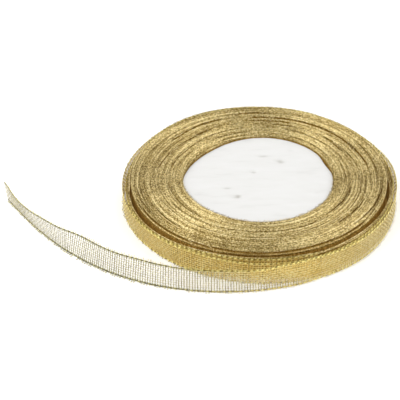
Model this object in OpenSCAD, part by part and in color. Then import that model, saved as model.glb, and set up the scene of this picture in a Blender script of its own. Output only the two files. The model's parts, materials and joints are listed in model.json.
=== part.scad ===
// Flat roll of sheer metallic gift ribbon on a foam puck, with two loosened outer turns and a free end.
// Millimetres, +Z up. The origin is on the roll's axis, in the plane that the roll lies on.

/* [Ribbon] */
// Ribbon width over its two selvedges
ribbon_w = 10; // [6:0.5:25]
// Thickness of the woven web
web_t = 0.16; // [0.1:0.02:0.4]
// Thickness of a selvedge cord, across the ribbon's face
cord_t = 0.22; // [0.12:0.02:0.5]
// Height of a selvedge cord, along the ribbon's width
cord_h = 0.5; // [0.3:0.05:1.2]

/* [Core] */
// Diameter of the foam puck
core_d = 62; // [40:1:90]
// Thickness of the foam puck, a little under the ribbon's width
core_h = 9.2; // [5:0.1:24]
// Rounding of the puck's rims
core_round = 0.5; // [0.2:0.1:1]
// Thickness of the tape that holds the ribbon's inner end
tape_t = 0.08; // [0.05:0.01:0.1]
// Angle of puck rim that the tape covers
tape_angle = 42; // [20:1:90]

/* [Tight turns] */
// Radial step from one drawn turn to the next: each one is two turns of ribbon pressed together
turn_pitch = 0.54; // [0.5:0.01:1.2]
// Number of drawn turns, half the number that the roll holds
turn_count = 41; // [10:1:60]
// Thickness of two webs pressed together
tight_web_t = 0.46; // [0.2:0.02:1]
// Thickness of two selvedge cords pressed together
tight_cord_t = 0.5; // [0.2:0.02:1]

/* [Loosened turns] */
// Radius of the outermost half turn, at the middle of the web
loose_r = 58.6; // [55:0.1:70]
// How far the pull of the free end has slid the loosened turns off the roll's axis
loose_slide = 2; // [0:0.1:2.2]
// How far the second half turn is inside the outermost one
loose_drop_1 = 0.5; // [0.1:0.1:1]
// How far the third half turn is inside the second
loose_drop_2 = 1.0; // [0.3:0.1:2]
// How far the fourth half turn is inside the third
loose_drop_3 = 1.1; // [0.3:0.1:2]
// How far the last arc, which comes off the tight turns, is inside the fourth half turn
loose_drop_4 = 1.4; // [0.3:0.1:2]
// Angle round the roll where the free end leaves it
leave_angle = -69; // [-180:1:180]
// Angle from there back to where the loosened turns come off the tight ones
join_angle = 64; // [10:1:170]

/* [Free end] */
// Bend radius of the free end next to the roll
root_bend_r = 98; // [60:1:400]
// Length of the free end's first part
root_len = 55; // [30:1:80]
// Bend radius of the free end's middle part
middle_bend_r = 89; // [60:1:400]
// Length of the free end's middle part
middle_len = 50; // [30:1:80]
// Bend radius of the free end's last part
tip_bend_r = 188; // [60:1:400]
// Length of the free end's last part
tip_len = 50; // [20:1:80]
// Slit between two parts of the ribbon that move apart
joint_slit = 0.4; // [0.3:0.05:1]

/* [Hidden] */
core_r = core_d / 2;
// inner face of the first tight turn, clear of the tape
first_r = core_r + tape_t + 0.06;
cord_gap = 0.02;
web_h = ribbon_w - 2 * cord_h - 2 * cord_gap;
// sums that give each loosened arc its radius and its centre's offset
drops = [0, loose_drop_1, loose_drop_2, loose_drop_3, loose_drop_4];
function drop_sum(k) = k < 0 ? 0 : drop_sum(k - 1) + drops[k];
function shift_sum(k) = k < 0 ? 0 : shift_sum(k - 1) + (k % 2 == 0 ? drops[k] : -drops[k]);

gold = [0.80, 0.66, 0.33];
gold_cord = [0.86, 0.72, 0.30];
foam = [0.95, 0.95, 0.94];
tape = [0.92, 0.90, 0.84];

$fn = 96;

// Section of one component of the ribbon, its middle on the Y axis and the ribbon's foot on y = 0.
module web_section(t = web_t) translate([-t / 2, cord_h + cord_gap]) square([t, web_h]);
module bottom_section(t = cord_t) translate([-t / 2, 0]) square([t, cord_h]);
module top_section(t = cord_t) translate([-t / 2, ribbon_w - cord_h]) square([t, cord_h]);

// Half turns about two centres, each one turn_pitch / 2 larger than the last, growing clockwise from above.
module tight_spiral()
    rotate([0, 0, leave_angle + join_angle])
        for (k = [0 : 2 * turn_count - 1])
            translate([k % 2 == 0 ? 0 : turn_pitch / 2, 0, 0])
                rotate([0, 0, k % 2 == 0 ? 180 : 0])
                    rotate_extrude(angle = 180)
                        translate([first_r + tight_cord_t / 2 + k * turn_pitch / 2, 0]) children();

// Four loosened half turns, from the outermost inwards, and the arc that comes off the tight turns.
module loose_spiral()
    translate([0, -loose_slide, 0]) rotate([0, 0, leave_angle])
        for (k = [0 : 4])
            translate([shift_sum(k), 0, 0])
                rotate([0, 0, k % 2 == 0 ? 0 : 180])
                    rotate_extrude(angle = k < 4 ? 180 : join_angle)
                        translate([loose_r - drop_sum(k), 0]) children();

// An arc from the origin, heading along -Y and curving clockwise for a length len, less a slit at its start.
module arc_strip(bend, len)
    translate([-bend, 0, 0])
        rotate([0, 0, -(len / bend) * 180 / PI])
            rotate_extrude(angle = ((len - joint_slit) / bend) * 180 / PI)
                translate([bend, 0]) children();

// Places for the three parts of the free end, each at the end of the one before.
module at_root()
    translate([0, -loose_slide, 0]) rotate([0, 0, leave_angle]) translate([loose_r, 0, 0]) children();
module at_middle() at_root() past_arc(root_bend_r, root_len) children();
module at_tip() at_middle() past_arc(middle_bend_r, middle_len) children();
module past_arc(bend, len)
    translate([-bend, 0, 0]) rotate([0, 0, -(len / bend) * 180 / PI]) translate([bend, 0, 0]) children();

module foam_core() color(foam)
    rotate_extrude() {
        square([core_r - core_round, core_h]);
        translate([0, core_round]) square([core_r, core_h - 2 * core_round]);
        for (z = [core_round, core_h - core_round])
            translate([core_r - core_round, z]) circle(r = core_round);
    }

module start_tape() color(tape)
    rotate([0, 0, leave_angle + join_angle])
        rotate_extrude(angle = tape_angle)
            translate([core_r + 0.02, core_round + 0.2]) square([tape_t, core_h - 2 * core_round - 0.4]);

module wound_web() color(gold) tight_spiral() web_section(tight_web_t);
module wound_top_edge() color(gold_cord) tight_spiral() top_section(tight_cord_t);
module wound_bottom_edge() color(gold_cord) tight_spiral() bottom_section(tight_cord_t);

module loose_web() color(gold) loose_spiral() web_section();
module loose_top_edge() color(gold_cord) loose_spiral() top_section();
module loose_bottom_edge() color(gold_cord) loose_spiral() bottom_section();

module root_web() color(gold) at_root() arc_strip(root_bend_r, root_len) web_section();
module root_top_edge() color(gold_cord) at_root() arc_strip(root_bend_r, root_len) top_section();
module root_bottom_edge() color(gold_cord) at_root() arc_strip(root_bend_r, root_len) bottom_section();

module middle_web() color(gold) at_middle() arc_strip(middle_bend_r, middle_len) web_section();
module middle_top_edge() color(gold_cord) at_middle() arc_strip(middle_bend_r, middle_len) top_section();
module middle_bottom_edge() color(gold_cord) at_middle() arc_strip(middle_bend_r, middle_len) bottom_section();

module tip_web() color(gold) at_tip() arc_strip(tip_bend_r, tip_len) web_section();
module tip_top_edge() color(gold_cord) at_tip() arc_strip(tip_bend_r, tip_len) top_section();
module tip_bottom_edge() color(gold_cord) at_tip() arc_strip(tip_bend_r, tip_len) bottom_section();

foam_core();
start_tape();
wound_web();
wound_top_edge();
wound_bottom_edge();
loose_web();
loose_top_edge();
loose_bottom_edge();
root_web();
root_top_edge();
root_bottom_edge();
middle_web();
middle_top_edge();
middle_bottom_edge();
tip_web();
tip_top_edge();
tip_bottom_edge();
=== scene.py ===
import json
import math

import bpy
import numpy as np
from mathutils import Matrix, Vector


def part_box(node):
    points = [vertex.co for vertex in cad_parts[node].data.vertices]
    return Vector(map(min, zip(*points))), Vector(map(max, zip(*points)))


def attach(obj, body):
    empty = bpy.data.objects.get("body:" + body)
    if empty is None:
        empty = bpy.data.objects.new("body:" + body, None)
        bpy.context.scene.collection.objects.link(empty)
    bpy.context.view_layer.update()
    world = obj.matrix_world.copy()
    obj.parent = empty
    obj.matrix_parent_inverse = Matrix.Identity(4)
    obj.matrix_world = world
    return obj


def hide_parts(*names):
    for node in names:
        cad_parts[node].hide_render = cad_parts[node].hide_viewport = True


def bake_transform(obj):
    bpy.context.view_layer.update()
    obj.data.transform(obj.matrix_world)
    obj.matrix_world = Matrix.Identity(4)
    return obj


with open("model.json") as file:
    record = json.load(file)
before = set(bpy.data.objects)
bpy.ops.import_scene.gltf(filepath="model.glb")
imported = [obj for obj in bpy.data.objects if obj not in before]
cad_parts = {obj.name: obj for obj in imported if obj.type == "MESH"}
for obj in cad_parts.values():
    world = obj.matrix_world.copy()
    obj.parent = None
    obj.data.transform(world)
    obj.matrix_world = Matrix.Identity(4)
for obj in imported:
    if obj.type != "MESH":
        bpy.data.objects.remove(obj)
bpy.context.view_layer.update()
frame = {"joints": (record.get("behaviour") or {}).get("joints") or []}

# Lengths below are in millimetres unless a name says otherwise; meshes are written in metres.
MM = 0.001
SEED = 20117
rng = np.random.default_rng(SEED)

# ---------------------------------------------------------------- places that come from the frame
joint_at = {j["name"]: np.array(j["pos_m"]) / MM for j in frame["joints"]}


def node_box(name):
    lo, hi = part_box(name)
    return np.array(lo) / MM, np.array(hi) / MM


CORE_H = node_box("foam_core")[1][2]
RIBBON_W = node_box("wound_top_edge")[1][2]
TAPE_LO, TAPE_HI = node_box("start_tape")
LEAVE = math.radians(-69)
LOOSE_R = 58.6
# the loosened turns have slid off the roll's axis, so they have a centre of their own
SLID = joint_at["tail_swing"][:2] - LOOSE_R * np.array([math.cos(LEAVE), math.sin(LEAVE)])


# ---------------------------------------------------------------- small helpers
def smooth_ring(table, blur=5.0):
    """A periodic function of degrees through (angle, value) pairs, rounded off over blur degrees."""
    a, v = np.array(table, float).T
    order = np.argsort(a % 360)
    a, v = (a % 360)[order], v[order]
    grid = np.arange(0, 360, 0.5)
    y = np.interp(grid, a, v, period=360)
    k = np.exp(-0.5 * (np.arange(-60, 61) * 0.5 / blur) ** 2)
    y = np.convolve(np.r_[y[-60:], y, y[:60]], k / k.sum(), "valid")
    return lambda deg: np.interp(np.asarray(deg) % 360, np.r_[grid, 360], np.r_[y, y[0]])


def from_slid(table):
    """(angle, radius) pairs about the loosened turns' centre, as pairs about the roll's axis."""
    a, r = np.array(table, float).T
    x = SLID[0] + r * np.cos(np.radians(a))
    y = SLID[1] + r * np.sin(np.radians(a))
    return np.stack([np.degrees(np.arctan2(y, x)), np.hypot(x, y)], 1)


def noise_line(n, step, grain):
    """A seeded smooth random line of n samples step apart, about +-1, that changes over grain."""
    m = int(n * step / grain) + 4
    knots = rng.uniform(-1, 1, m)
    x = np.arange(n) * step / grain
    i = x.astype(int)
    f = x - i
    f = f * f * (3 - 2 * f)
    return knots[i] * (1 - f) + knots[i + 1] * f


def spline(xs, ys, x):
    """Natural cubic spline through the points."""
    xs, ys = np.asarray(xs, float), np.asarray(ys, float)
    n = len(xs)
    h = np.diff(xs)
    a = np.zeros((n, n))
    b = np.zeros(n)
    a[0, 0] = a[-1, -1] = 1
    for i in range(1, n - 1):
        a[i, i - 1], a[i, i], a[i, i + 1] = h[i - 1], 2 * (h[i - 1] + h[i]), h[i]
        b[i] = 6 * ((ys[i + 1] - ys[i]) / h[i] - (ys[i] - ys[i - 1]) / h[i - 1])
    m = np.linalg.solve(a, b)
    i = np.clip(np.searchsorted(xs, x) - 1, 0, n - 2)
    u, w = xs[i + 1] - x, x - xs[i]
    return (
        m[i] * u**3 / (6 * h[i])
        + m[i + 1] * w**3 / (6 * h[i])
        + (ys[i] / h[i] - m[i] * h[i] / 6) * u
        + (ys[i + 1] / h[i] - m[i + 1] * h[i] / 6) * w
    )


class Soup:
    """Collects vertices, quads and a yarn coordinate, and writes them as one mesh object.

    The yarn coordinate holds a place along the yarn, a tone from dark to light, and a third value: the radius
    on wound turns, how far the loose ribbon takes its thinner threads and painted backlit colouring, or how
    deep a pit in the foam is, which also paints shade into the pit.
    """

    def __init__(self):
        self.v, self.f, self.y, self.n = [], [], [], 0

    def add(self, verts, faces, yarn):
        self.v.append(verts.reshape(-1, 3))
        self.f.append(faces.reshape(-1, 4) + self.n)
        self.y.append(yarn.reshape(-1, 3))
        self.n += verts.size // 3

    def tubes(self, c, a, b, sides, yarn):
        """Tubes along m lines of n centres c (m,n,3), with half axes a and b (m,n,3)."""
        m, n = c.shape[:2]
        t = np.arange(sides) / sides * 2 * np.pi + np.pi / sides
        v = (
            c[:, :, None]
            + a[:, :, None] * np.cos(t)[None, None, :, None]
            + b[:, :, None] * np.sin(t)[None, None, :, None]
        )
        i = np.arange(m * n * sides).reshape(m, n, sides)
        p, q = i[:, :-1], i[:, 1:]
        f = np.stack([p, np.roll(p, -1, 2), np.roll(q, -1, 2), q], -1)
        y = np.broadcast_to(yarn[:, :, None], (m, n, sides, 3))
        self.add(v, f, np.ascontiguousarray(y))

    def grid(self, v, yarn, wrap=False):
        """A sheet of quads over points v (m,n,3)."""
        m, n = v.shape[:2]
        i = np.arange(m * n).reshape(m, n)
        j = np.roll(i, -1, 1) if wrap else i[:, 1:]
        k = i if wrap else i[:, :-1]
        f = np.stack([k[:-1], j[:-1], j[1:], k[1:]], -1)
        self.add(v, f, yarn)

    def build(self, name, material):
        v = (np.concatenate(self.v) * MM).astype(np.float32)
        f = np.concatenate(self.f).astype(np.int32)
        y = np.concatenate(self.y).astype(np.float32)
        me = bpy.data.meshes.new(name)
        me.vertices.add(len(v))
        me.vertices.foreach_set("co", v.ravel())
        me.loops.add(f.size)
        me.loops.foreach_set("vertex_index", f.ravel())
        me.polygons.add(len(f))
        me.polygons.foreach_set("loop_start", np.arange(0, f.size, 4, dtype=np.int32))
        me.polygons.foreach_set("use_smooth", np.ones(len(f), bool))
        me.update(calc_edges=True)
        at = me.attributes.new("yarn", "FLOAT_VECTOR", "POINT")
        at.data.foreach_set("vector", y.ravel())
        me.validate()
        ob = bpy.data.objects.new(name, me)
        bpy.context.scene.collection.objects.link(ob)
        me.materials.append(material)
        return ob


# ---------------------------------------------------------------- materials
class Look:
    """A node material with one Principled shader, and short ways to feed it."""

    def __init__(self, name, base, **sockets):
        self.mat = bpy.data.materials.new(name)
        self.mat.use_nodes = True
        self.nt = self.mat.node_tree
        self.p = self.nt.nodes["Principled BSDF"]
        self.p.inputs["Base Color"].default_value = (*base, 1)
        for key, value in sockets.items():
            self.p.inputs[key.replace("_", " ")].default_value = value

    def node(self, kind, **settings):
        n = self.nt.nodes.new(kind)
        for k, v in settings.items():
            setattr(n, k, v)
        return n

    def link(self, a, b):
        self.nt.links.new(a, b)

    def noise(self, vector, scale, detail=2.0, rough=0.5):
        n = self.node("ShaderNodeTexNoise")
        n.inputs["Scale"].default_value = scale
        n.inputs["Detail"].default_value = detail
        n.inputs["Roughness"].default_value = rough
        self.link(vector, n.inputs["Vector"])
        return n.outputs["Fac"]

    def scaled(self, vector, xyz):
        n = self.node("ShaderNodeMapping")
        n.inputs["Scale"].default_value = xyz
        self.link(vector, n.inputs["Vector"])
        return n.outputs["Vector"]

    def place(self):
        return self.node("ShaderNodeTexCoord").outputs["Object"]

    def yarn(self):
        n = self.node("ShaderNodeAttribute")
        n.attribute_name = "yarn"
        return n.outputs["Vector"]

    def math(self, op, a, b=0.5, clamp=False):
        n = self.node("ShaderNodeMath", operation=op, use_clamp=clamp)
        for i, x in enumerate((a, b)):
            if isinstance(x, bpy.types.NodeSocket):
                self.link(x, n.inputs[i])
            else:
                n.inputs[i].default_value = x
        return n.outputs[0]

    def ramp(self, fac, stops):
        n = self.node("ShaderNodeValToRGB")
        e = n.color_ramp.elements
        while len(e) < len(stops):
            e.new(0.5)
        for el, (pos, rgb) in zip(e, stops):
            el.position = pos
            el.color = (*rgb, 1)
        self.link(fac, n.inputs["Fac"])
        return n.outputs["Color"]

    def bump(self, height, distance, strength=1.0):
        n = self.node("ShaderNodeBump")
        n.inputs["Distance"].default_value = distance
        n.inputs["Strength"].default_value = strength
        self.link(height, n.inputs["Height"])
        self.link(n.outputs["Normal"], self.p.inputs["Normal"])


# the light and dark dashes along a selvedge, two wefts long
DASH = 2.14


def gold_yarn(
    name, stops, grain, metallic, roughness,
    alpha=1.0, bump=0.0, speckle=2.2, clumps=0.6, twist=0.06, rings=0.0, sheer_backlit=None, glow=None,
):
    """Metallic yarn: speckle, and light and dark dashes where it twists, along it, and on wound turns from
    ring to ring; their bright end is partly painted glints and their dark end partly painted shade.
    """
    look = Look(name, stops[len(stops) // 2][1], Metallic=metallic, Roughness=roughness, Alpha=alpha)
    if glow:
        look.p.inputs["Emission Color"].default_value = (*glow[0], 1)
        look.p.inputs["Emission Strength"].default_value = glow[1]
    where = look.place()
    fine = look.noise(where, 1 / (grain * MM), 1.0, 0.5)
    clump = look.noise(where, 1 / (2.2 * grain * MM), 1.0, 0.5)
    broad = look.noise(where, 1 / (9 * MM), 2.0, 0.5)
    split = look.node("ShaderNodeSeparateXYZ")
    look.link(look.yarn(), split.inputs[0])
    wave = look.math("SINE", look.math("MULTIPLY", split.outputs[0], 2 * math.pi / DASH))
    parts = [(fine, speckle), (clump, clumps * speckle), (broad, 0.3)]
    if rings:
        at = look.node("ShaderNodeSeparateXYZ")
        look.link(where, at.inputs[0])
        for across, along, share in ((0.5, 45, rings), (1.5, 90, 0.35 * rings)):
            polar = look.node("ShaderNodeCombineXYZ")
            for i, out in enumerate((0, 1)):
                look.link(look.math("MULTIPLY", at.outputs[out], 1 / (along * MM)), polar.inputs[i])
            look.link(look.math("MULTIPLY", split.outputs[2], 1 / across), polar.inputs[2])
            parts.append((look.noise(polar.outputs[0], 1.0, 1.0, 0.5), share))
    mixed = 0.5
    for value, share in parts:
        mixed = look.math("ADD", look.math("MULTIPLY", look.math("SUBTRACT", value, 0.5), share), mixed)
    mixed = look.math("ADD", mixed, look.math("MULTIPLY", wave, twist))
    mixed = look.math("ADD", mixed, look.math("MULTIPLY", split.outputs[1], 0.12), clamp=True)
    colour = look.ramp(mixed, stops)
    # painted light: the colour moves towards the backlit colouring by the yarn's third value
    if sheer_backlit:
        mix = look.node("ShaderNodeMix", data_type="RGBA")
        look.link(split.outputs[2], mix.inputs[0])
        look.link(colour, mix.inputs[6])
        look.link(look.ramp(mixed, sheer_backlit), mix.inputs[7])
        colour = mix.outputs[2]
    look.link(colour, look.p.inputs["Base Color"])
    rough = look.math("ADD", look.math("MULTIPLY", fine, 0.3), roughness - 0.12, clamp=True)
    look.link(rough, look.p.inputs["Roughness"])
    if bump:
        look.bump(fine, bump * MM)
    return look.mat


EDGE_STOPS = [
    (0.06, (0.155, 0.092, 0.016)),
    (0.36, (0.44, 0.32, 0.10)),
    (0.62, (0.67, 0.515, 0.20)),
    (0.92, (0.95, 0.83, 0.47)),
]
PACK_STOPS = [
    (0.20, (0.34, 0.20, 0.035)),
    (0.50, (0.62, 0.41, 0.09)),
    (0.80, (0.90, 0.66, 0.20)),
]
# painted light: the loose ribbon is one yarn drawn in two colourings; these saturated golds, where it lies
# over the roll, stand in for light bounced between its gold layers
TURN_STOPS = [
    (0.10, (0.46, 0.30, 0.05)),
    (0.50, (0.95, 0.70, 0.19)),
    (0.90, (1.0, 0.88, 0.42)),
]
# its painted backlit colouring: pale greys where one layer stands against the white paper
SHEER_BACKLIT_STOPS = [
    (0.12, (0.17, 0.13, 0.06)),
    (0.50, (0.46, 0.41, 0.25)),
    (0.88, (0.82, 0.77, 0.56)),
]
CORD_STOPS = [
    (0.08, (0.22, 0.16, 0.02)),
    (0.50, (0.72, 0.55, 0.14)),
    (0.90, (1.0, 0.92, 0.38)),
]
# painted shade: the loose selvedges are drawn dark on the free end, as they look in silhouette against the
# white paper
SHEER_CORD_SILHOUETTE_STOPS = [
    (0.20, (0.10, 0.085, 0.012)),
    (0.50, (0.22, 0.195, 0.045)),
    (0.92, (0.62, 0.57, 0.22)),
]
# painted light: the pack's web glows a dim brown-gold, standing in for light let through the see-through
# turns, so the gaps between them are brown and not black
PACK_WEB_PAINTED_GLOW = ((0.58, 0.36, 0.09), 0.07)
mat_edge = gold_yarn(
    "pack_selvedge_gold", EDGE_STOPS, 0.42, 0.7, 0.40, bump=0.05, speckle=2.6, clumps=0.25, rings=1.5,
)
mat_packweb = gold_yarn("pack_web_gold", PACK_STOPS, 0.5, 0.5, 0.45, bump=0.05, glow=PACK_WEB_PAINTED_GLOW)
mat_thread = gold_yarn(
    "loose_thread_gold", TURN_STOPS, 0.6, 0.5, 0.4,
    alpha=0.88, speckle=1.2, clumps=0.4, twist=0.26, sheer_backlit=SHEER_BACKLIT_STOPS,
)
mat_cord = gold_yarn(
    "loose_selvedge_gold", CORD_STOPS, 0.6, 0.45, 0.35,
    speckle=1.8, clumps=0.3, twist=0.30, sheer_backlit=SHEER_CORD_SILHOUETTE_STOPS,
)

FOAM_STOPS = [
    (0.05, (0.52, 0.505, 0.47)),
    (0.30, (0.705, 0.70, 0.68)),
    (0.42, (0.74, 0.735, 0.715)),
    (0.70, (0.76, 0.755, 0.74)),
]
foam = Look("foam_white", (0.80, 0.80, 0.785), Roughness=0.75)
foam_at = foam.place()
streaks = foam.noise(foam.scaled(foam_at, (60, 260, 90)), 1.0, 3.0, 0.6)
foam_pit_depth = foam.node("ShaderNodeSeparateXYZ")
foam.link(foam.yarn(), foam_pit_depth.inputs[0])
# painted shade: the pits are drawn darker by their depth
foam_tone_and_pit_shade = foam.math("SUBTRACT", streaks, foam.math("MULTIPLY", foam_pit_depth.outputs[2], 0.62), clamp=True)
foam.link(foam.ramp(foam_tone_and_pit_shade, FOAM_STOPS), foam.p.inputs["Base Color"])
cells = foam.noise(foam_at, 1 / (0.35 * MM), 2.0, 0.6)
foam.bump(cells, 0.03 * MM)

TAPE_STOPS = [(0.3, (0.76, 0.73, 0.63)), (0.7, (0.86, 0.83, 0.75))]
tape = Look("tape_film", (0.82, 0.79, 0.70), Roughness=0.3)
tape_tone = tape.noise(tape.place(), 400, 2.0)
tape.link(tape.ramp(tape_tone, TAPE_STOPS), tape.p.inputs["Base Color"])

# ---------------------------------------------------------------- the foam puck
# how far the puck's rim stands past a 31 mm circle about the loosened turns' centre, by angle
CORE_TABLE = [(a, 31.0 + d) for a, d in [
    (-180, 1.8), (-155, 0.6), (-130, -0.4), (-105, -0.1), (-90, 0.2), (-60, 0.6), (-30, 1.0), (-10, 1.0),
    (15, 0.8), (45, 2.0), (75, 2.4), (90, 1.9), (110, 0.4), (130, -0.9), (150, -0.4), (170, 0.9)]]
inner_r = smooth_ring(from_slid(CORE_TABLE))


GAP_AT, GAP_HALF, GAP_DEPTH = 16, 16, 0.8


def puck_r(deg):
    """The puck's rim stands a little inside the first turn, more so where a gap shows."""
    off = np.abs((np.asarray(deg) - GAP_AT + 180) % 360 - 180)
    f = np.clip(1 - off / GAP_HALF, 0, 1)
    return inner_r(deg) - 0.10 - GAP_DEPTH * f**2 * (3 - 2 * f)


# dents in the puck's upper face: middle x and y, half length and half width, depth
PITS = [
    (-2.6, 6.6, 2.2, 1.2, 0.5), (-1.4, 5.8, 1.1, 1.0, 0.5), (2.6, 17.7, 2.4, 1.2, 0.35),
    (10.6, 13.4, 1.7, 1.8, 0.45), (9.0, 14.2, 2.8, 1.2, 0.35), (15.3, 22.3, 1.6, 1.4, 0.35),
    (-10.1, -12.6, 2.4, 1.3, 0.4), (-9.0, -11.4, 1.2, 1.3, 0.4), (-13.6, -6.0, 2.2, 0.8, 0.35),
]


def puck():
    soup = Soup()
    around = 480
    deg = np.arange(around) * 360.0 / around
    th = np.radians(deg)
    rim = puck_r(deg) + 0.05 * noise_line(around, 1, 3)
    rnd = 0.5
    rows = []
    for f in (0.001, 0.25, 0.5, 0.75, 0.9, 0.97):
        rows.append((f * (rim - rnd), np.zeros(around)))
    for q in (0, 22.5, 45, 67.5, 90):
        q = math.radians(q)
        rows.append((rim - rnd + rnd * math.sin(q), np.full(around, rnd - rnd * math.cos(q))))
    for z in (2, 3.5, 5, 6.5, 8):
        rows.append((rim + 0.04 * noise_line(around, 1, 4), np.full(around, float(z))))
    for q in (90, 67.5, 45, 22.5, 0):
        q = math.radians(q)
        rows.append((rim - rnd + rnd * math.sin(q), np.full(around, CORE_H - rnd + rnd * math.cos(q))))
    for f in np.linspace(0.985, 0.001, 110):
        rows.append((f * (rim - rnd), np.full(around, CORE_H)))
    r = np.array([a for a, _ in rows])
    z = np.array([b for _, b in rows])
    x, y = r * np.cos(th), r * np.sin(th)
    top = z > CORE_H - 1e-6
    dip = np.zeros_like(z)
    for px, py, lx, ly, depth in PITS:
        ex = (x - px - SLID[0]) / lx
        ey = (y - py - SLID[1]) / ly
        dip += depth * np.exp(-(ex**2 + ey**2) * 0.9)
    wave = 0.03 * np.sin(x * 0.35 + 1.0) * np.sin(y * 0.9 + 0.3 * x)
    z = z - top * (dip + wave + 0.03)
    # the pits' depth goes with the points, so the foam material can paint shade into them
    soup.grid(np.stack([x, y, z], -1), np.stack([x, y, top * dip], -1), wrap=True)
    return soup.build("foam_puck", foam.mat)


foam_puck = puck()
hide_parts("foam_core")
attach(foam_puck, "roll")


TAPE_ANGLE = 42
TAPE_INNER, TAPE_OUTER = 0.03, 0.11


def start_tape():
    """The tape's section swept round the puck's rim, just off it."""
    soup = Soup()
    a0 = math.degrees(math.atan2(TAPE_LO[1], TAPE_HI[0]))
    deg = np.linspace(a0, a0 + TAPE_ANGLE, 60)
    th = np.radians(deg)
    foot = [(TAPE_INNER, TAPE_LO[2]), (TAPE_OUTER, TAPE_LO[2])]
    head = [(TAPE_OUTER, TAPE_HI[2]), (TAPE_INNER, TAPE_HI[2])]
    v = []
    for off, z in foot + head + foot[:1]:
        r = puck_r(deg) + off
        v.append(np.stack([r * np.cos(th), r * np.sin(th), np.full_like(r, z)], -1))
    v = np.array(v)
    soup.grid(v, v)
    return soup.build("tape_strip", tape.mat)


tape_strip = start_tape()
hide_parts("start_tape")
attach(tape_strip, "roll")

# ---------------------------------------------------------------- the tight turns
TURNS = 79
PACK_END = -7.0
outer_r = smooth_ring([(-180, 54.62), (-150, 54.55), (-40, 54.55), (-10, 54.66), (60, 54.66), (160, 54.66)])
# dark slits between turns: each is (angle, radius) pairs about the loosened turns' centre, and a width
SLITS = [
    ([(-178, 52.2), (-163, 51.2), (-146, 50.0)], 0.28),
    ([(-160, 47.8), (-146, 47.3), (-131, 46.8)], 0.30),
    ([(-166, 43.7), (-155, 43.0), (-145, 42.3), (-120, 41.7), (-80, 41.7), (-60, 42.2), (-30, 43.0),
      (0, 43.4), (42, 43.8)], 0.20),
    ([(-160, 40.3), (-140, 39.2), (-126, 38.4), (-92, 37.5), (-75, 38.0), (-40, 39.3)], 0.22),
    ([(-48, 37.2), (-28, 38.4), (-8, 39.3)], 0.30),
    ([(-53, 44.2), (-35, 45.2), (-18, 46.3)], 0.32),
    ([(3, 47.8), (32, 48.3), (57, 49.3), (77, 49.5), (97, 48.6)], 0.52),
    ([(62, 47.0), (80, 46.4), (98, 46.5)], 0.45),
    ([(33, 39.6), (60, 40.9), (87, 40.8), (105, 40.4), (130, 39.0), (142, 38.2), (172, 38.3)], 0.26),
    ([(25, 34.7), (50, 35.6), (70, 36.2), (82, 36.3), (95, 34.3), (122, 33.6)], 0.24),
    ([(-2, 50.6), (15, 51.4), (34, 52.1)], 0.34),
    ([(76, 52.7), (88, 53.0), (104, 53.2)], 0.45),
    ([(102, 50.0), (116, 50.4), (134, 48.4), (144, 48.0)], 0.42),
    ([(112, 44.4), (130, 43.3), (150, 43.2), (172, 44.0)], 0.34),
    ([(178, 38.8), (204, 37.4), (232, 36.0)], 0.24),
    ([(-7, 36.9), (6, 37.2), (19, 37.4)], 0.32),
    ([(-47, 49.4), (-28, 50.8), (-6, 52.4)], 0.34),
    ([(-124, 34.2), (-73, 34.2)], 0.22),
    ([(24, 41.6), (35, 42.8), (50, 45.0)], 0.34),
    ([(60, 43.6), (82, 43.9), (100, 43.0)], 0.26),
    ([(88, 37.0), (104, 36.6), (124, 36.4)], 0.30),
    ([(-170, 53.3), (-148, 52.3), (-130, 51.7), (-110, 50.9), (-90, 50.7), (-70, 50.9), (-50, 51.4),
      (-33, 52.1)], 0.40),
]
# the beads on both sides of a slit close over part of it, so the turns stand this much further apart
SLIT_SCALE = 2.6


def slit_at(deg, pairs, width):
    """A slit's radius and width at each angle: the width dies away at its ends."""
    t = from_slid(pairs)
    a = np.unwrap(np.radians(t[:, 0])) * 180 / np.pi
    if a[0] > a[-1]:
        a, r = a[::-1], t[::-1, 1]
    else:
        r = t[:, 1]
    middle = (a[0] + a[-1]) / 2
    d = (np.asarray(deg) - middle + 180) % 360 - 180 + middle
    fade = np.clip(np.minimum(d - a[0], a[-1] - d) / 9.0, 0, 1)
    sine = np.sin(np.radians(deg))
    seen = 0.6 + 0.4 * np.abs(sine) + 0.2 * np.maximum(sine, 0)
    return np.interp(d, a, r), width * seen * fade * fade * (3 - 2 * fade)


def pack_path(step):
    """Samples along the wound ribbon from the core outwards: turns counted, angle, radius, how sunk it is."""
    r0, r1 = inner_r(np.arange(360)).mean(), outer_r(np.arange(360)).mean()
    n = int(TURNS * 2 * math.pi * (r0 + r1) / 2 / step)
    # equal steps along the ribbon, although the turns get longer
    f = np.linspace(0, 1, n)
    r = np.sqrt(r0**2 + f * (r1**2 - r0**2))
    turn = (r - r0) / (r1 - r0) * TURNS
    deg = PACK_END + 360 * (TURNS - turn)
    slits = np.array([slit_at(deg, pairs, SLIT_SCALE * width) for pairs, width in SLITS])
    at, wide = slits[:, 0], slits[:, 1]
    order = np.argsort(at, axis=0)
    at, wide = np.take_along_axis(at, order, 0), np.take_along_axis(wide, order, 0)
    # where each slit comes before the slits inside it have opened
    at = at - (np.cumsum(wide, 0) - wide) - wide / 2
    ri, ro = inner_r(deg) + 0.16, outer_r(deg)
    base = ri + (ro - ri - wide.sum(0)) * turn / TURNS
    opened = 1 / (1 + np.exp(-np.clip((base - at) / 0.015, -30, 30)))
    rad = base + (wide * opened).sum(0)
    # the turns outside the last slit of the table lie deeper
    last = slit_at(deg, *SLITS[-1])[1] / SLITS[-1][1]
    outermost = np.take_along_axis(opened, np.argmax(at * (wide > 0.01), axis=0)[None], 0)[0]
    return turn, deg, rad, last * outermost


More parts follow.
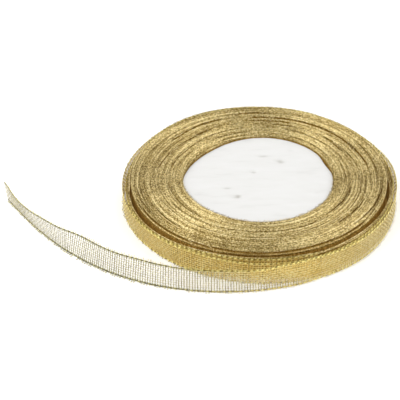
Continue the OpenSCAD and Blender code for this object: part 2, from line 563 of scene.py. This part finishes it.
def pack_lift(turn, step):
    """How far an edge is pushed below the ribbon's full width, smoothly along a turn and turn by turn."""
    n = len(turn)
    per_turn = rng.uniform(0, 1, TURNS + 3)
    k = turn.astype(int)
    f = turn - k
    own = per_turn[k] * (1 - f) + per_turn[k + 1] * f
    slow, quick = (1 + noise_line(n, step, 22)) / 2, (1 + noise_line(n, step, 5)) / 2
    return 0.10 * own**2 + 0.07 * slow + 0.03 * quick


# a wound selvedge's rounded edge: across it in half widths, and down from its top
BEAD = [(-1.0, -0.50), (-0.97, -0.17), (-0.6, -0.03), (0.0, 0.0), (0.6, -0.03), (0.97, -0.17), (1.0, -0.50)]
BEAD_HALF = 0.132
# where the wound web has its rows, up the ribbon's width
WEB_ROWS = (0.35, 3.4, 6.6, RIBBON_W - 0.35)


class Wound:
    """A line of closely wound ribbon: its middle in plan, the way outwards, where its edges are sunk."""

    def __init__(self, turn, centre, th, rad, step, sunk=0.0):
        self.turn, self.step, self.sunk = turn, step, sunk
        self.out = np.stack([np.cos(th), np.sin(th)], -1)
        self.xy = centre + rad[:, None] * self.out
        self.s = np.arange(len(turn)) * step

    def edge(self, name, top, parts):
        """The wound selvedges seen from above or below, as a bumpy bead along each turn."""
        n = len(self.s)
        drop = pack_lift(self.turn, self.step) + 0.35 * self.sunk
        half = BEAD_HALF + 0.010 * rng.uniform(-1, 1, n)
        side = 0.03 * rng.uniform(-1, 1, n) + 0.02 * np.sin(np.pi * self.s / DASH)
        lift = 0.05 * rng.uniform(-1, 1, n)
        v = []
        for across, down in BEAD:
            xy = self.xy + (across * half + side * (1 + down))[:, None] * self.out
            z = RIBBON_W - drop + down + lift * (1 + 1.4 * down)
            z = z if top else RIBBON_W - z
            v.append(np.concatenate([xy, np.maximum(z, 0.01)[:, None]], -1))
        v = np.stack(v, 1)
        # turns that lie deeper are also painted darker by two tone steps: painted shade in the dip they lie
        # in
        tone = rng.uniform(-1, 1, TURNS + 2)[self.turn.astype(int)] - 2.0 * self.sunk
        y = np.repeat(np.stack([self.s, tone, np.hypot(*self.xy.T)], -1)[:, None], len(BEAD), 1)
        made = []
        cuts = np.linspace(0, n, parts + 1).astype(int)
        for i in range(parts):
            a, b = cuts[i], min(cuts[i + 1] + 1, n)
            soup = Soup()
            soup.grid(v[a:b], y[a:b])
            if i == 0 and parts > 1:
                self.loops(soup, np.flatnonzero(self.turn < 1))
            made.append(soup.build(name if parts == 1 else name + ("_inner", "_outer")[i], mat_edge))
        return made

    def loops(self, soup, i):
        """Small stray loops that stand inwards past the top edge at samples i."""
        q = np.linspace(0, np.pi, 5)
        out, s = self.out[i][:, None], self.s[i][:, None]
        along = np.stack([-out[..., 1], out[..., 0]], -1)
        tall = rng.uniform(0.2, 0.9, (len(i), 1))
        inward = (0.08 + tall * np.sin(q))[..., None]
        xy = self.xy[i][:, None] + along * 0.2 * np.cos(q)[:, None] - out * inward
        z = RIBBON_W - 0.12 + 0.3 * tall * np.sin(q)
        c = np.concatenate([xy, z[..., None]], -1)
        flat = np.broadcast_to(np.concatenate([along, 0 * along[..., :1]], -1), c.shape)
        yarn = np.stack(np.broadcast_arrays(s, -0.5, np.hypot(xy[..., 0], xy[..., 1])), -1)
        soup.tubes(c, flat * 0.08, np.broadcast_to([0, 0, 0.08], c.shape), 3, yarn)

    def web(self, name):
        """The web between the two edges, as one sheet."""
        v = [np.concatenate([self.xy, np.full((len(self.s), 1), z)], -1) for z in WEB_ROWS]
        v = np.stack(v, 1)
        y = np.repeat(np.stack([self.s, 0 * self.s - 2, 0 * self.s], -1)[:, None], len(WEB_ROWS), 1)
        soup = Soup()
        soup.grid(v, y)
        return soup.build(name, mat_packweb)


def tight_turns(step):
    turn, deg, rad, sunk = pack_path(step)
    return Wound(turn, np.zeros(2), np.radians(deg), rad, step, sunk)


wound = tight_turns(2.5).web("wound_ribbon")
top_edges = tight_turns(0.62).edge("wound_selvedge_top", True, 2)
bottom_edges = tight_turns(1.1).edge("wound_selvedge_bottom", False, 1)
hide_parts("wound_web")
for o in top_edges:
    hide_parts("wound_top_edge")
for o in bottom_edges:
    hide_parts("wound_bottom_edge")
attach(wound, "roll")
for o in top_edges + bottom_edges:
    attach(o, "roll")

# ---------------------------------------------------------------- the loose ribbon's line
# angle, and the top and bottom edges' radii, about the loosened turns' centre, from the free end inwards
OUTER_TURN = [
    (-69, 57.9, 59.4), (-62, 58.0, 59.2), (-50, 58.2, 59.1), (-40, 58.2, 58.8), (-30, 58.0, 58.4),
    (-20, 58.0, 58.2), (-10, 58.2, 58.4), (0, 58.3, 58.5), (10, 58.1, 58.3), (21, 57.3, 57.5),
    (30, 57.05, 57.2), (40, 57.1, 57.2), (53, 57.5, 57.6), (63, 58.0, 58.1), (75, 58.4, 58.5),
    (88, 58.4, 58.5), (103, 58.7, 58.8), (112, 58.7, 58.8), (123, 58.3, 58.5), (132, 57.7, 57.9),
    (143, 57.2, 57.5), (155, 57.3, 57.7), (167, 57.6, 58.0), (180, 57.9, 58.1), (191, 58.1, 58.0),
    (200, 58.1, 57.8), (210, 57.9, 57.5), (218, 57.8, 57.2), (226, 57.6, 57.1), (236, 57.2, 57.1),
    (246, 57.0, 57.2), (256, 57.4, 57.6), (267, 57.9, 58.0), (276, 57.9, 58.2), (284, 57.8, 58.3),
    (291, 57.6, 58.2),
]
SECOND_TURN = [
    (300, 57.4, 57.9), (312, 57.2, 57.7), (325, 57.0, 57.4), (338, 56.9, 57.3), (352, 56.9, 57.1),
    (370, 56.7, 56.9), (390, 56.4, 56.6), (405, 56.85, 57.0), (420, 57.5, 57.6), (450, 58.1, 58.2),
    (470, 58.4, 58.5), (492, 57.4, 57.6), (500, 56.4, 56.6), (512, 55.95, 56.2), (524, 55.95, 56.2),
    (534, 56.2, 56.4), (544, 56.55, 56.7), (554, 56.9, 56.8), (564, 57.15, 56.8), (571, 57.3, 56.9),
    (578, 57.3, 56.8), (586, 56.95, 56.6), (594, 56.3, 56.2), (604, 55.6, 55.7), (613, 55.25, 55.5),
    (623, 55.3, 55.5), (632, 55.35, 55.6), (642, 55.6, 55.8), (651, 55.8, 56.0),
]
# the turns inside those two lie close together: the outermost of them, by angle
BUNCH = [
    (-69, 56.3), (-50, 56.1), (-37, 56.3), (-22, 56.6), (-13, 56.6), (-5, 56.6), (10, 56.5), (21, 56.3),
    (30, 56.5), (45, 56.65), (60, 57.2), (75, 57.8), (90, 57.9), (110, 58.1), (132, 57.1), (143, 56.0),
    (153, 55.7), (165, 55.7), (178, 56.0), (188, 56.35), (197, 56.6), (204, 56.8), (211, 57.0),
    (218, 57.0), (226, 56.65), (234, 56.0), (244, 55.3), (253, 54.95), (263, 55.0), (272, 55.05),
    (282, 55.3),
]
# and how far they may spread inwards from it
BUNCH_SPREAD = [
    (-69, 0.8), (-50, 0.9), (-30, 0.85), (-14, 0.8), (-5, 1.6), (8, 1.9), (90, 1.9), (165, 1.9),
    (183, 1.3), (193, 0.6), (210, 0.5), (240, 0.6), (265, 0.7),
]
BUNCH_TURNS = 3 + 64 / 360
BUNCH_CLEAR = 55.05
turn_table = np.array(OUTER_TURN + SECOND_TURN, float)
grid_deg = np.arange(-69, 651.01, 0.25)
top_rad = spline(turn_table[:, 0], turn_table[:, 1], grid_deg)
low_rad = spline(turn_table[:, 0], turn_table[:, 2], grid_deg)
ang = np.radians(grid_deg)
turn_xy = np.stack([SLID[0] + low_rad * np.cos(ang), SLID[1] + low_rad * np.sin(ang)], -1)
turn_lean = (low_rad - top_rad) / RIBBON_W


def bunch(step):
    """The loosened turns inside the outer two, from the second turn's end inwards."""
    n = int(BUNCH_TURNS * 2 * math.pi * 56.5 / step)
    turn = np.linspace(0, BUNCH_TURNS, n)
    deg = -69 + 360 * turn
    th = np.radians(deg)
    lean_in = SLID[0] * np.cos(th) + SLID[1] * np.sin(th)
    inmost = -lean_in + np.sqrt(BUNCH_CLEAR**2 - SLID @ SLID + lean_in**2) + 0.05
    outmost = np.maximum(smooth_ring(BUNCH, 3.0)(deg), inmost + 0.12)
    thick = np.minimum(outmost - inmost, smooth_ring(BUNCH_SPREAD, 3.0)(deg))
    return Wound(turn, SLID, th, outmost - thick * np.minimum(turn / (BUNCH_TURNS - 1), 1), step)


# the free end's bottom edge about the same centre, and how many degrees its top leans toward the roll
TAIL = np.array([
    (12.5, -59.2, 13), (6.9, -60.6, 12), (1.1, -61.7, 6), (-4.8, -62.4, 4), (-10.8, -62.7, 6),
    (-16.9, -62.7, 8), (-22.9, -62.2, 8), (-28.9, -61.4, 8), (-34.9, -60.1, 9), (-40.7, -58.5, 11),
    (-46.3, -56.6, 13), (-51.8, -54.2, 15), (-57.2, -51.5, 13), (-62.3, -48.5, 13), (-67.2, -45.2, 15),
    (-71.9, -41.6, 18), (-76.5, -37.7, 17), (-80.8, -33.6, 7), (-84.9, -29.2, 0), (-88.8, -24.7, -4),
    (-92.6, -20.0, -9), (-96.2, -15.2, -12), (-99.7, -10.3, -12), (-103.1, -5.4, -9),
    (-106.4, -0.5, -4), (-108.4, 2.5, -3),
], float)


def free_end():
    """The free end's own line, starting with the last of the outer turn so that the two run on smoothly."""
    lead = np.searchsorted(grid_deg, [-51, -60, -69])
    xy = np.concatenate([turn_xy[lead], TAIL[:, :2] + SLID])
    lean = np.concatenate([turn_lean[lead], np.sin(np.radians(TAIL[:, 2]))])
    s = np.r_[0, np.cumsum(np.hypot(*np.diff(xy, axis=0).T))]
    fine = np.arange(s[2], s[-1], 0.1)
    return np.stack([spline(s, xy[:, 0], fine), spline(s, xy[:, 1], fine)], -1), spline(s, lean, fine)


tail_xy, tail_lean = free_end()
line_xy = np.concatenate([turn_xy[::-1], tail_xy[1:]])
line_lean = np.concatenate([turn_lean[::-1], tail_lean[1:]])
line_s = np.r_[0, np.cumsum(np.hypot(*np.diff(line_xy, axis=0).T))]
s_leave = line_s[len(turn_xy) - 1]
even = np.arange(0, line_s[-1], 0.2)
line_xy = np.stack([np.interp(even, line_s, line_xy[:, k]) for k in (0, 1)], -1)
line_lean = np.interp(even, line_s, line_lean)
# rounds off the small kinks where the tables meet
EASE = 20
kernel = np.hanning(2 * EASE + 1)
kernel /= kernel.sum()


def ease(a):
    ends = np.concatenate([2 * a[:1] - a[EASE:0:-1], a, 2 * a[-1:] - a[-2:-EASE - 2:-1]])
    return np.convolve(ends, kernel, "valid")


line_xy = np.stack([ease(line_xy[:, 0]), ease(line_xy[:, 1])], -1)
line_lean = ease(line_lean)
heading = np.gradient(line_xy, axis=0)
heading /= np.linalg.norm(heading, axis=1)[:, None]
LENGTH = even[-1]


def on_ribbon(s, h, off):
    """Points s along the loose ribbon, h up from its foot and off toward the roll; and the axes there."""
    s, h, off = np.broadcast_arrays(np.asarray(s, float), h, off)
    x, y = (np.interp(s, even, line_xy[:, k]) for k in (0, 1))
    tx, ty = (np.interp(s, even, heading[:, k]) for k in (0, 1))
    lean = np.interp(s, even, line_lean)
    up = np.sqrt(1 - lean**2)
    zero = np.zeros_like(x)
    along = np.stack([tx, ty, zero], -1)
    across = np.stack([lean * ty, -lean * tx, up], -1)
    normal = np.stack([up * ty, -up * tx, -lean], -1)
    low = np.stack([x, y, zero + 0.02], -1)
    return low + h[..., None] * across + off[..., None] * normal, along, across, normal


# ---------------------------------------------------------------- the weave
WEFT = DASH / 2
WARPS = 9
WARP_FIRST, WARP_STEP = 1.0, 1.0
# how far the threads go over and under one another, and half their widths
WAVE = 0.085
WEFT_HALF = 0.32
WARP_HALF = 0.21
# half the height of a selvedge
CORD = 0.36


def sheer_backlit_amount(s, h):
    """How far the loose ribbon takes its thinner threads and its painted backlit colouring: 1 on the free
    end, where one layer alone is seen against the paper, and up to 0.4 on the outer turn, most towards the
    roll's left and right sides.
    """
    f = np.clip((s - s_leave + 14 - 3.6 * h) / 40, 0, 1)
    # painted light: the outer turn is painted paler towards the roll's left and right sides
    side_backlit = 0.40 * np.abs(np.cos(LEAVE - (s - s_leave) / LOOSE_R + 0.28)) ** 2.5 * (s < s_leave)
    return np.maximum(f * f * (3 - 2 * f), side_backlit)


def backlit_and_frayed(s):
    """0 up to the roll and 1 further along the free end, where its selvedges are painted dark, as they look
    in silhouette against the white paper, and their loops stand out.
    """
    return np.clip((s - s_leave - 20) / 45, 0, 1)


def weave(soup, s0, s1):
    """Wefts and warps of the web between two places along the ribbon."""
    j = np.arange(math.ceil(s0 / WEFT), math.ceil(s1 / WEFT))
    k = 21
    h = np.linspace(0.3, RIBBON_W - 0.3, k)
    s = j[:, None] * WEFT + rng.uniform(-0.06, 0.06, (len(j), 1)) + 0.04 * rng.uniform(-1, 1, (len(j), k))
    off = WAVE * np.cos(np.pi * ((h[None] - WARP_FIRST) / WARP_STEP + j[:, None]))
    c, along, across, normal = on_ribbon(s, np.broadcast_to(h, s.shape), off)
    # on the free end the threads are thinner and take the painted backlit colouring
    sheer_backlit = sheer_backlit_amount(s, h)
    wide = WEFT_HALF - 0.01 * sheer_backlit[..., None]
    wide = wide + 0.04 * rng.uniform(-1, 1, (len(j), 1, 1)) + 0.03 * rng.uniform(-1, 1, (len(j), k, 1))
    tone = rng.uniform(-0.9, 0.3, (len(j), 1))
    yarn = np.stack(np.broadcast_arrays(h[None] * DASH / WARP_STEP, tone, sheer_backlit), -1)
    soup.tubes(c, along * wide, normal * 0.045, 4, yarn)
    step = WEFT / 2
    t = np.arange(math.floor(s0 / step), math.floor(s1 / step) + 1) * step
    t = np.clip(t, s0, s1)
    hw = WARP_FIRST + WARP_STEP * np.arange(WARPS)
    sw = np.broadcast_to(t, (WARPS, len(t)))
    off = -WAVE * np.cos(np.pi * (sw / WEFT + np.arange(WARPS)[:, None]))
    hh = hw[:, None] + 0.04 * rng.uniform(-1, 1, sw.shape)
    c, along, across, normal = on_ribbon(sw, hh, off)
    sheer_backlit = sheer_backlit_amount(sw, hh)
    # the warps are painted lighter still on the free end, as part of its backlit look
    tone = rng.uniform(1.0, 2.0, (WARPS, 1)) + 1.5 * sheer_backlit
    slant = sw + DASH / 3 * np.arange(WARPS)[:, None]
    yarn = np.stack(np.broadcast_arrays(slant, tone, sheer_backlit), -1)
    soup.tubes(c, across * (WARP_HALF - 0.07 * sheer_backlit[..., None]), normal * 0.04, 4, yarn)


def selvedge(soup, s0, s1, top):
    """Two plies twisted together along an edge, and the weft's small loops that stand past it."""
    step = 0.32
    t = np.linspace(s0, s1, int((s1 - s0) / step) + 2)
    middle = RIBBON_W - CORD if top else CORD
    for ply in (0, 1):
        a = np.pi * t / DASH + np.pi * ply
        h = middle + 0.18 * np.cos(a) + 0.02 * rng.uniform(-1, 1, len(t))
        c, along, across, normal = on_ribbon(t, h, 0.07 * np.sin(a))
        # on the free end the plies are painted dark, as in silhouette against the paper
        yarn = np.stack([t, 0.5 - ply - 1.5 * backlit_and_frayed(t), backlit_and_frayed(t)], -1)
        soup.tubes(c[None], across[None] * (CORD - 0.18), normal[None] * 0.12, 5, yarn[None])
    j = np.arange(math.ceil(s0 / WEFT) + 1, math.ceil(s1 / WEFT) - 1)
    if len(j):
        q = np.linspace(0, np.pi, 6)
        tall = rng.uniform(0.25, 0.95, (len(j), 1)) * (1 + 0.3 * backlit_and_frayed(j[:, None] * WEFT))
        s = j[:, None] * WEFT + 0.24 * np.cos(q)[None] + rng.uniform(-0.1, 0.1, (len(j), 1))
        h = (RIBBON_W - 0.08 if top else 0.08) + (1 if top else -1) * tall * np.sin(q)[None]
        off = rng.uniform(-0.1, 0.1, (len(j), 1)) * np.sin(q)[None] - (0 if top else tall * np.sin(q)[None])
        c, along, across, normal = on_ribbon(s, h, off)
        c[..., 2] = np.maximum(c[..., 2], 0.1)
        dark = np.where(j[:, None] % 2, -2.5, 0.0) * (1 - backlit_and_frayed(s))
        yarn = np.stack(np.broadcast_arrays(s, dark + 1.5 * backlit_and_frayed(s), 0.35 * backlit_and_frayed(s)), -1)
        soup.tubes(c, across * 0.08 + along * 0.08, normal * 0.07, 3, yarn)


def loose_part(name, s0, s1):
    """Web, top selvedge and bottom selvedge of one length of the loose ribbon."""
    made = []
    for part, material in (("web", mat_thread), ("selvedge_top", mat_cord), ("selvedge_bottom", mat_cord)):
        soup = Soup()
        if part == "web":
            weave(soup, s0, s1)
        else:
            selvedge(soup, s0, s1, part.endswith("top"))
        o = soup.build(f"{name}_{part}", material)
        made.append(o)
    return made


bunch_web = bunch(1.2).web("loose_bunch_web")
bunch_top = bunch(0.62).edge("loose_bunch_selvedge_top", True, 1)
bunch_bottom = bunch(1.1).edge("loose_bunch_selvedge_bottom", False, 1)
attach(bunch_web, "outer_turn")
for o in bunch_top + bunch_bottom:
    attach(o, "outer_turn")

# how long the outermost turn and the free end's first two lengths are, and a run along the ribbon that bend()
# looks up but does not use
TURN_LENGTH, ROOT_LENGTH, MIDDLE_LENGTH = 2 * math.pi * 58.0, 55.0, 50.0
BEND_RUN = 20
s_turn = even[np.argmin(np.abs(even - (s_leave - TURN_LENGTH)))]
s_middle = s_leave + ROOT_LENGTH
s_tip = s_middle + MIDDLE_LENGTH
inner_turn = loose_part("inner_loose_turn", 0.0, s_turn)
outer_turn = loose_part("outer_loose_turn", s_turn, s_leave)
tail_root = loose_part("free_end_root", s_leave, s_middle)
tail_middle = loose_part("free_end_middle", s_middle, s_tip)
tail_tip = loose_part("free_end_tip", s_tip, LENGTH)

for group in (inner_turn, outer_turn):
    for o, node in zip(group, ("loose_web", "loose_top_edge", "loose_bottom_edge")):
        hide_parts(node)
        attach(o, "outer_turn")


def bend(group, s, length):
    """Hides the frame's parts for one length of the free end and bakes its pieces' transforms into their
    meshes; start and end are worked out but not used.
    """
    start = on_ribbon(s, RIBBON_W / 2, 0)[0] * MM
    end = on_ribbon(s + BEND_RUN, RIBBON_W / 2, 0)[0] * MM
    for o, part in zip(group, ("web", "top_edge", "bottom_edge")):
        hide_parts(f"{length}_{part}")
        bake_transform(o)


bend(tail_root, s_leave, "root")
bend(tail_middle, s_middle, "middle")
bend(tail_tip, s_tip, "tip")

# ---------------------------------------------------------------- floor, light, camera
floor_look = Look("paper_white", (0.96, 0.96, 0.96), Roughness=0.9)
floor_look.p.inputs["Specular IOR Level"].default_value = 0.1
floor_at = floor_look.place()
# the paper glows, but under the roll its glow and colour fall to a dim brown-gold: a painted shadow of the
# roll, tinted by the gold light it throws, so the gaps between turns stay dark
floor_out = floor_look.node("ShaderNodeVectorMath", operation="DISTANCE")
floor_look.link(floor_at, floor_out.inputs[0])
floor_out.inputs[1].default_value = (*SLID * MM, 0)
SHADE_R, PAPER_R = 0.0555, 0.0575
SHADE_GLOW, PAPER_GLOW = 0.15, 0.22
# painted shadow colours of the paper: brown-gold under the roll and white beyond it
SHADE_STOPS = [(0.6, (0.66, 0.47, 0.20)), (1, (0.96, 0.96, 0.96))]
GLOW_STOPS = [(0.7, (0.70, 0.42, 0.10)), (1, (1, 1, 1))]
glow = floor_look.node("ShaderNodeMapRange")
glow.inputs["From Min"].default_value = SHADE_R
glow.inputs["From Max"].default_value = PAPER_R
glow.inputs["To Min"].default_value = SHADE_GLOW
glow.inputs["To Max"].default_value = PAPER_GLOW
floor_look.link(floor_out.outputs["Value"], glow.inputs["Value"])
floor_look.link(glow.outputs[0], floor_look.p.inputs["Emission Strength"])
floor_painted_shadow = floor_look.math("MULTIPLY", glow.outputs[0], 1 / PAPER_GLOW)
floor_look.link(floor_look.ramp(floor_painted_shadow, SHADE_STOPS), floor_look.p.inputs["Base Color"])
floor_look.link(floor_look.ramp(floor_painted_shadow, GLOW_STOPS), floor_look.p.inputs["Emission Color"])
paper = floor_look.noise(floor_at, 900, 2.0)
floor_look.bump(paper, 0.00002)
FLOOR_HALF = 3.0
corners = [(x * FLOOR_HALF, y * FLOOR_HALF, 0) for x, y in ((-1, -1), (1, -1), (1, 1), (-1, 1))]
floor_mesh = bpy.data.meshes.new("floor")
floor_mesh.from_pydata(corners, [], [(0, 1, 2, 3)])
floor_mesh.materials.append(floor_look.mat)
floor = bpy.data.objects.new("floor", floor_mesh)
bpy.context.scene.collection.objects.link(floor)


def area_light(name, at, size, watts):
    """A square soft light that faces the roll's foot."""
    data = bpy.data.lights.new(name, "AREA")
    data.size = size
    data.energy = watts
    ob = bpy.data.objects.new(name, data)
    ob.location = at
    z = np.array(at) / np.linalg.norm(at)
    x = np.cross((0, 0, 1), z)
    x /= np.linalg.norm(x)
    y = np.cross(z, x)
    ob.rotation_euler = Matrix(np.stack([x, y, z], 1).tolist()).to_euler()
    bpy.context.scene.collection.objects.link(ob)


area_light("left", (-1.1, -0.15, 0.8), 0.7, 4.4)
area_light("right", (1.1, -0.1, 0.8), 0.7, 2.2)

world = bpy.data.worlds.new("studio")
bpy.context.scene.world = world
world.use_nodes = True
background = world.node_tree.nodes["Background"]
background.inputs["Color"].default_value = (1, 1, 1, 1)
# the room is brighter to the left and right than in front and behind
sky = world.node_tree.nodes.new("ShaderNodeTexCoord")
sky_xyz = world.node_tree.nodes.new("ShaderNodeSeparateXYZ")
sky_side = world.node_tree.nodes.new("ShaderNodeMath")
sky_side.operation = "ABSOLUTE"
sky_level = world.node_tree.nodes.new("ShaderNodeMapRange")
sky_level.inputs["From Max"].default_value = 0.6
sky_level.inputs["To Min"].default_value = 0.12
sky_level.inputs["To Max"].default_value = 1.55
world.node_tree.links.new(sky.outputs["Generated"], sky_xyz.inputs[0])
world.node_tree.links.new(sky_xyz.outputs[0], sky_side.inputs[0])
world.node_tree.links.new(sky_side.outputs[0], sky_level.inputs["Value"])
world.node_tree.links.new(sky_level.outputs[0], background.inputs["Strength"])

# where the camera stands from the loosened turns' centre, how far it looks down, and how far it is tilted
CAMERA_AT = np.array([-25.16, -384.44, 276.91]) * MM + np.array([*SLID, 0]) * MM
PITCH, ROLL = 0.6259, -0.025889
forward = np.array([0, math.cos(PITCH), -math.sin(PITCH)])
right0 = np.array([1.0, 0, 0])
up0 = np.array([0, math.sin(PITCH), math.cos(PITCH)])
right = right0 * math.cos(ROLL) + up0 * math.sin(ROLL)
up = -right0 * math.sin(ROLL) + up0 * math.cos(ROLL)
cam = bpy.data.cameras.new("camera")
cam.lens = 98.83
cam.sensor_width = 36.0
cam.clip_start = 0.01
camera = bpy.data.objects.new("camera", cam)
turned = Matrix(np.stack([right, up, -forward], 1).tolist()).to_4x4()
camera.matrix_world = Matrix.Translation(CAMERA_AT.tolist()) @ turned
bpy.context.scene.collection.objects.link(camera)
bpy.context.scene.camera = camera
bpy.context.scene.view_settings.view_transform = "Standard"
